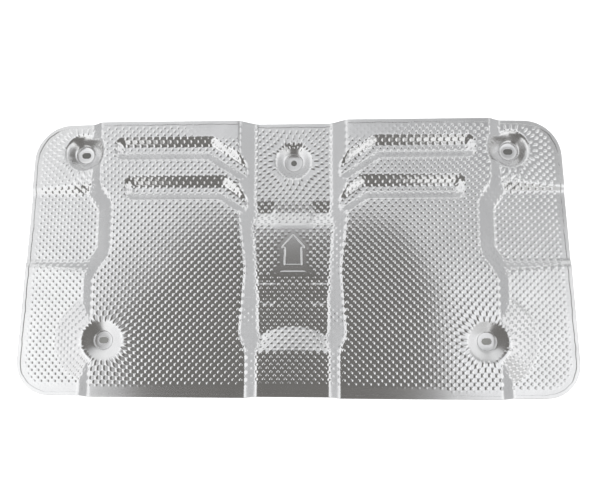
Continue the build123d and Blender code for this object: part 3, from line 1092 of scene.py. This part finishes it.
def rolled_metal_group():
    """Node group: fine rolling grain, cloudy tone and small scuffs of bare rolled sheet, each a
    noise, stretched along the rolling for the grain and turned and stretched for the scuffs."""
    scales = {"Cloud scale": 30, "Grain scale": 1500}
    group, given, result = node_group("Rolled metal", scales, ("Grain", "Cloud", "Scuff"))
    here = given["Vector"]
    stretch = node(group, "ShaderNodeMapping", Vector=here, Scale=(0.25, 1.0, 1.0))
    grain = node(group, "ShaderNodeTexNoise", Vector=stretch.outputs["Vector"], Scale=given["Grain scale"],
                 Detail=4.0, Roughness=0.6)
    cloud = node(group, "ShaderNodeTexNoise", Vector=here, Scale=given["Cloud scale"],
                 Detail=5.0, Roughness=0.55)
    turned = node(group, "ShaderNodeMapping", Vector=here, Rotation=(0.0, 0.0, 0.6),
                  Scale=(40.0, 600.0, 40.0))
    streak = node(group, "ShaderNodeTexNoise", Vector=turned.outputs["Vector"], Scale=1.0, Detail=3.0)
    scuff = node(group, "ShaderNodeMapRange", Value=streak.outputs["Fac"], From_Min=0.62, From_Max=0.78)
    feed(group, result["Grain"], grain.outputs["Fac"])
    feed(group, result["Cloud"], cloud.outputs["Fac"])
    feed(group, result["Scuff"], scuff.outputs["Result"])
    return group


def dimple_group(s):
    """Node group: height of the dimples at a point, from a cosine along X times one along Y, flat
    below a level and raised to a power above it, as in the mesh."""
    e = s.emboss
    sizes = {"Pitch": e.pitch, "Height": e.height, "Ground": e.ground, "Power": e.power, "Share": 1.0}
    group, given, result = node_group("Dimples", sizes, ("Height",))
    split = node(group, "ShaderNodeSeparateXYZ", Vector=given["Vector"])
    turn = maths(group, "DIVIDE", 2 * pi, given["Pitch"])
    along_x, along_y = (maths(group, "COSINE", maths(group, "MULTIPLY", split.outputs[axis], turn))
                        for axis in ("X", "Y"))
    above = node(group, "ShaderNodeMapRange", Value=maths(group, "MULTIPLY", along_x, along_y),
                 From_Min=given["Ground"])
    eased = maths(group, "POWER", above.outputs["Result"], given["Power"])
    height = maths(group, "MULTIPLY", eased, given["Height"])
    feed(group, result["Height"], maths(group, "MULTIPLY", height, given["Share"]))
    return group


def metal(name, s, rolled_group, dimples_group, dull_share, grain_height):
    """Bare aluminium: tone and roughness follow the clouds and scuffs of the rolled sheet and what
    is ironed out of the dimples, and the bump is the dimples' own height and a fine grain."""
    finish = s.finish
    material = bpy.data.materials.new(name)
    material.use_nodes = True
    tree = material.node_tree
    here = node(tree, "ShaderNodeTexCoord").outputs["Object"]
    rolled = node(tree, "ShaderNodeGroup", node_tree=rolled_group, Vector=here).outputs
    emboss = node(tree, "ShaderNodeAttribute", attribute_name="emboss").outputs["Fac"]
    flat_place = node(tree, "ShaderNodeAttribute", attribute_name="flat_place").outputs["Vector"]

    dull = node(tree, "ShaderNodeMapRange", Value=rolled["Cloud"], From_Min=0.35, From_Max=0.75,
                To_Max=dull_share)
    tint = node(tree, "ShaderNodeMix", data_type="RGBA", Factor=dull.outputs["Result"],
                A=(*finish.bright, 1), B=(*finish.dull, 1))
    crisp = maths(tree, "ABSOLUTE", emboss)
    plain = node(tree, "ShaderNodeMapRange", Value=crisp, To_Min=finish.ironed_roughness,
                 To_Max=finish.roughness)
    worn = maths(tree, "MULTIPLY_ADD", rolled["Scuff"], finish.scuff_roughness, plain.outputs["Result"])
    rough = maths(tree, "MULTIPLY_ADD", rolled["Cloud"], finish.cloud_roughness, worn)
    dimpled = node(tree, "ShaderNodeGroup", node_tree=dimples_group, Vector=flat_place, Share=emboss)
    relief = maths(tree, "MULTIPLY_ADD", rolled["Grain"], grain_height, dimpled.outputs["Height"])
    bump = node(tree, "ShaderNodeBump", Strength=1.0, Distance=1.0, Height=relief)

    shader = tree.nodes["Principled BSDF"].inputs
    feed(tree, shader["Metallic"], 1.0)
    feed(tree, shader["Base Color"], tint.outputs["Result"])
    feed(tree, shader["Roughness"], rough)
    feed(tree, shader["Normal"], bump.outputs["Normal"])
    return material


def metal_materials(s):
    """The two finishes of the sheet: its bright dimpled metal, and the duller folded edge."""
    finish = s.finish
    found = bpy.data.materials.get("bright_sheet")
    if found:
        return found, bpy.data.materials["folded_edge"]
    groups = rolled_metal_group(), dimple_group(s)
    return (metal("bright_sheet", s, *groups, finish.dull_share, finish.grain),
            metal("folded_edge", s, *groups, finish.edge_dull_share, finish.edge_grain))


def plain_material(name, tint, roughness):
    """Plain painted surface of the stage."""
    material = bpy.data.materials.new(name)
    material.use_nodes = True
    shader = material.node_tree.nodes["Principled BSDF"].inputs
    shader["Base Color"].default_value = (*tint, 1)
    shader["Roughness"].default_value = roughness
    return material


# Light

def flag_cover(x, y, st):
    """How much of the flag is there: all of it inside, fading out round a distance of 1 from its
    middle. The distance is a root of the sum of two powers, of the way beside the middle in half
    widths and of the way towards +Y in reaches. The flag is narrower where the grooves mirror it,
    flares low in front, and towards -X its round end is wider and its edge softer."""
    left = x < st.flag_middle[0]
    flare = np.where(left, smoothstep(*FLARE_LEFT, y), smoothstep(*FLARE_RIGHT, y))
    wider = 1 - st.flag_narrowing * smoothstep(*NARROW_FROM, y) * (1 - flare) + st.flag_flare * flare
    wider += np.where(left, st.flag_widening * smoothstep(*WIDE_FROM, y), 0)
    beside = np.abs(x - st.flag_middle[0]) / np.where(left, st.flag_left, st.flag_right) / wider
    ahead = np.maximum(y - st.flag_middle[1], 0) / st.flag_reach
    power = np.where(left, SQUARE_LEFT, SQUARE_RIGHT)
    distance = (beside ** power + ahead ** power) ** (1 / power)
    far_left = smoothstep(*SOFT_FROM, (st.flag_middle[0] - x) / st.flag_left)
    soft = st.flag_soft + st.flag_softer * far_left
    return 1 - smoothstep(1 - soft, 1 + soft / 2, distance)


def turning(tree, direction, ranges):
    """Product of shares, each of which goes from 0 to 1 as a coordinate of a direction goes over
    its range."""
    product = None
    for axis, start, end in ranges:
        part = node(tree, "ShaderNodeMapRange", interpolation_type="SMOOTHSTEP", Value=direction[axis],
                    From_Min=start, From_Max=end).outputs["Result"]
        product = part if product is None else maths(tree, "MULTIPLY", product, part)
    return product


# Operators

class SHIELD_OT_sheet(bpy.types.Operator):
    """Add the pressed and embossed sheet with its folded edge"""

    bl_idname = "shield.sheet"
    bl_label = "Embossed sheet"

    def execute(self, context):
        s = context.scene.heat_shield
        sheet = sheet_arrays(s)
        piece = add_piece("embossed_sheet", sheet["points"], sheet["faces"].tolist())
        layer = piece.data.attributes.new("emboss", "FLOAT", "POINT")
        layer.data.foreach_set("value", sheet["emboss"].astype(np.float32))
        layer = piece.data.attributes.new("flat_place", "FLOAT_VECTOR", "POINT")
        layer.data.foreach_set("vector", sheet["flat_place"].astype(np.float32).ravel())
        for material in metal_materials(s):
            piece.data.materials.append(material)
        finish = np.zeros(len(sheet["faces"]), np.int32)
        finish[-sheet["folded"]:] = 1
        piece.data.polygons.foreach_set("material_index", finish)
        piece.data.set_sharp_from_angle(angle=SHEET_SHARP)
        corners = np.empty(len(piece.data.loops), np.int32)
        piece.data.loops.foreach_get("vertex_index", corners)
        piece.data.normals_split_custom_set(sheet["normals"][corners].tolist())
        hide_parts(NODE)
        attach(piece, BODY)
        return {"FINISHED"}


class SHIELD_OT_arrow(bpy.types.Operator):
    """Add the ribs of the plain direction arrow and its two bars"""

    bl_idname = "shield.arrow"
    bl_label = "Direction arrow"

    def execute(self, context):
        s = context.scene.heat_shield
        a = s.arrow
        reach = a.bar_half + TABLE_MARGIN
        form = FormTable(s, (-reach, a.lower_bar - TABLE_MARGIN), (reach, a.upper_bar + TABLE_MARGIN))
        arrow, bars = arrow_paths(s)
        for name, path, closed, width, height in (
                ("arrow_rib", arrow, True, a.rib_width, a.rib_height),
                ("arrow_lower_bar", bars[0], False, a.bar_width, a.bar_height),
                ("arrow_upper_bar", bars[1], False, a.bar_width, a.upper_bar_height)):
            points, faces, caps = rib_arrays(path, closed, width, height, form, s)
            piece = add_piece(name, points, faces.tolist() + caps)
            piece.data.materials.append(metal_materials(s)[0])
            if not closed:
                piece.data.set_sharp_from_angle(angle=BAR_SHARP)
            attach(piece, BODY)
        return {"FINISHED"}


class SHIELD_OT_stage(bpy.types.Operator):
    """Add the floor, the soft light round the sheet, the dark flag above it and the camera"""

    bl_idname = "shield.stage"
    bl_label = "Studio stage"

    def execute(self, context):
        st = context.scene.heat_shield.stage
        self.floor(st)
        self.flag(st)
        self.sky(context.scene, st)
        self.camera(context.scene, st)
        return {"FINISHED"}

    def floor(self, st):
        """Level pale floor in the plane on which the seats stand, with painted shadow where the sheet
        covers it, more under its back than its front, and a lamp straight above it that the metal doesn't
        mirror."""
        outer = np.array([(-1, -1, 0), (1, -1, 0), (1, 1, 0), (-1, 1, 0)]) * st.floor_half
        inner = np.array([(-1, -1, 0), (1, -1, 0), (1, 0, 0), (1, 1, 0), (-1, 1, 0), (-1, 0, 0)])
        points = np.concatenate([outer, inner * (st.shade_half_x, st.shade_half_y, 0)])
        faces = [(4, 5, 6, 9), (9, 6, 7, 8), (0, 1, 5, 4), (1, 2, 7, 6, 5), (2, 3, 8, 7), (3, 0, 4, 9, 8)]
        floor = add_piece("floor", points, faces)
        # The two inner quads are painted shadow under the sheet: grey under its front, near black under
        # its back
        for name, tint in (("floor_paint", st.floor_colour), ("floor_front", st.shade_front),
                           ("floor_back", st.shade_back)):
            floor.data.materials.append(plain_material(name, tint, st.floor_roughness))
        floor.data.polygons.foreach_set("material_index", [1, 2, 0, 0, 0, 0])
        floor.visible_glossy = False
        sun = bpy.data.lights.new("floor_lamp", "SUN")
        sun.energy = st.floor_light
        sun.angle = st.lamp_spread
        lamp = bpy.data.objects.new("floor_lamp", sun)
        lamp.visible_glossy = False
        bpy.context.scene.collection.objects.link(lamp)

    def flag(self, st):
        """Dark flag above and in front, which bends down towards -Y: the metal that faces it looks
        dark. Its edges fade, and the camera looks through it."""
        across, along = np.linspace(-1, 1, FLAG_POINTS), np.linspace(0, 1, FLAG_POINTS)
        u, v = np.meshgrid(across, along, indexing="ij")
        x = st.flag_half * u
        y = st.flag_back - st.flag_length * v
        z = st.flag_middle[2] - st.flag_drop * smoothstep(*FLAG_BEND, v)
        points = np.stack([x, y, z], -1).reshape(-1, 3)
        quads = grid_faces(np.arange(u.size).reshape(u.shape)).reshape(-1, 4)
        flag = add_piece("dark_flag", points, quads.tolist())
        layer = flag.data.attributes.new("cover", "FLOAT", "POINT")
        layer.data.foreach_set("value", flag_cover(x, y, st).ravel().astype(np.float32))
        material = bpy.data.materials.new("dark_cloth")
        material.use_nodes = True
        tree = material.node_tree
        tree.nodes.clear()
        cover = node(tree, "ShaderNodeAttribute", attribute_name="cover").outputs["Fac"]
        clear = node(tree, "ShaderNodeBsdfTransparent").outputs["BSDF"]
        cloth = node(tree, "ShaderNodeEmission", Color=(*st.flag_colour, 1)).outputs["Emission"]
        mixed = node(tree, "ShaderNodeMixShader")
        for socket, value in zip(mixed.inputs, (cover, clear, cloth)):
            feed(tree, socket, value)
        node(tree, "ShaderNodeOutputMaterial", Surface=mixed.outputs["Shader"])
        flag.data.materials.append(material)
        flag.visible_camera = False
        flag.visible_shadow = False
        flag.visible_diffuse = False

    def sky(self, scene, st):
        """White light from above that greys towards the horizon. It stays pale in front and half
        way up on the left and on the right. Less comes from the back, the more so on the right, and
        less from high in front on the right."""
        world = bpy.data.worlds.new("soft_studio")
        world.use_nodes = True
        tree = world.node_tree
        generated = node(tree, "ShaderNodeTexCoord").outputs["Generated"]
        direction = node(tree, "ShaderNodeSeparateXYZ", Vector=generated).outputs
        ramp = node(tree, "ShaderNodeValToRGB", Fac=direction["Z"])
        stops = ramp.color_ramp.elements
        stops[0].position, stops[1].position = SKY_STOPS[0][0], SKY_STOPS[-1][0]
        for position, _ in SKY_STOPS[1:-1]:
            stops.new(position)
        for stop, (_, tint) in zip(stops, SKY_STOPS):
            stop.color = (*getattr(st, tint), 1)
        shown = ramp.outputs["Color"]
        for tint, ranges in ((st.front, FRONT_SIDE), (st.left, LEFT_SIDE), (st.right, RIGHT_SIDE)):
            lit = node(tree, "ShaderNodeMix", data_type="RGBA", A=shown, B=(*tint, 1),
                       Factor=turning(tree, direction, ranges))
            shown = lit.outputs["Result"]
        strength = st.sky_strength
        for dim, ranges in ((st.back_dim, BACK_ABOVE), (st.right_dim, BACK_RIGHT),
                            (st.front_dim, FRONT_RIGHT)):
            less = -st.sky_strength * dim
            strength = maths(tree, "MULTIPLY_ADD", turning(tree, direction, ranges), less, strength)
        light = tree.nodes["Background"].inputs
        feed(tree, light["Color"], shown)
        feed(tree, light["Strength"], strength)
        scene.world = world
        scene.view_settings.view_transform = "Standard"

    def camera(self, scene, st):
        """Camera at the place given, its aim in the middle of the picture."""
        lens = bpy.data.cameras.new("camera")
        lens.sensor_fit = "HORIZONTAL"
        lens.sensor_width = st.camera_lens
        lens.lens = st.camera_lens
        lens.clip_start = st.camera_near
        back = (Vector(st.camera_place) - Vector(st.camera_aim)).normalized()
        right = Vector(st.camera_up).cross(back).normalized()
        camera = bpy.data.objects.new("camera", lens)
        turned = Matrix((right, back.cross(right), back)).transposed().to_4x4()
        camera.matrix_world = Matrix.Translation(st.camera_place) @ turned
        scene.collection.objects.link(camera)
        scene.camera = camera


class SHIELD_PT_sidebar(bpy.types.Panel):
    """Sidebar with the operators and their sizes"""

    bl_label = "Heat shield"
    bl_idname = "SHIELD_PT_sidebar"
    bl_space_type = "VIEW_3D"
    bl_region_type = "UI"
    bl_category = "Heat shield"

    def draw(self, context):
        for operator in OPERATORS:
            self.layout.operator(operator.bl_idname)
        settings = context.scene.heat_shield
        for group in ShieldSettings.__annotations__:
            box = self.layout.box()
            box.label(text=group.capitalize())
            values = getattr(settings, group)
            for name in type(values).__annotations__:
                box.prop(values, name)


OPERATORS = (SHIELD_OT_sheet, SHIELD_OT_arrow, SHIELD_OT_stage)
GROUPS = (ShieldOutline, ShieldPanels, ShieldChannel, ShieldBorders, ShieldGrooves, ShieldCones,
          ShieldEmboss, ShieldIroning, ShieldArrow, ShieldFinish, ShieldStage, ShieldSettings)


def register():
    """Add the settings, the operators and the sidebar."""
    for item in GROUPS + OPERATORS + (SHIELD_PT_sidebar,):
        bpy.utils.register_class(item)
    bpy.types.Scene.heat_shield = PointerProperty(type=ShieldSettings)


def unregister():
    """Take the settings, the operators and the sidebar away again."""
    del bpy.types.Scene.heat_shield
    for item in reversed(GROUPS + OPERATORS + (SHIELD_PT_sidebar,)):
        bpy.utils.unregister_class(item)


def main():
    """Register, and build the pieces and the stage."""
    register()
    bpy.ops.shield.sheet()
    bpy.ops.shield.arrow()
    bpy.ops.shield.stage()


if __name__ == "__main__":
    main()
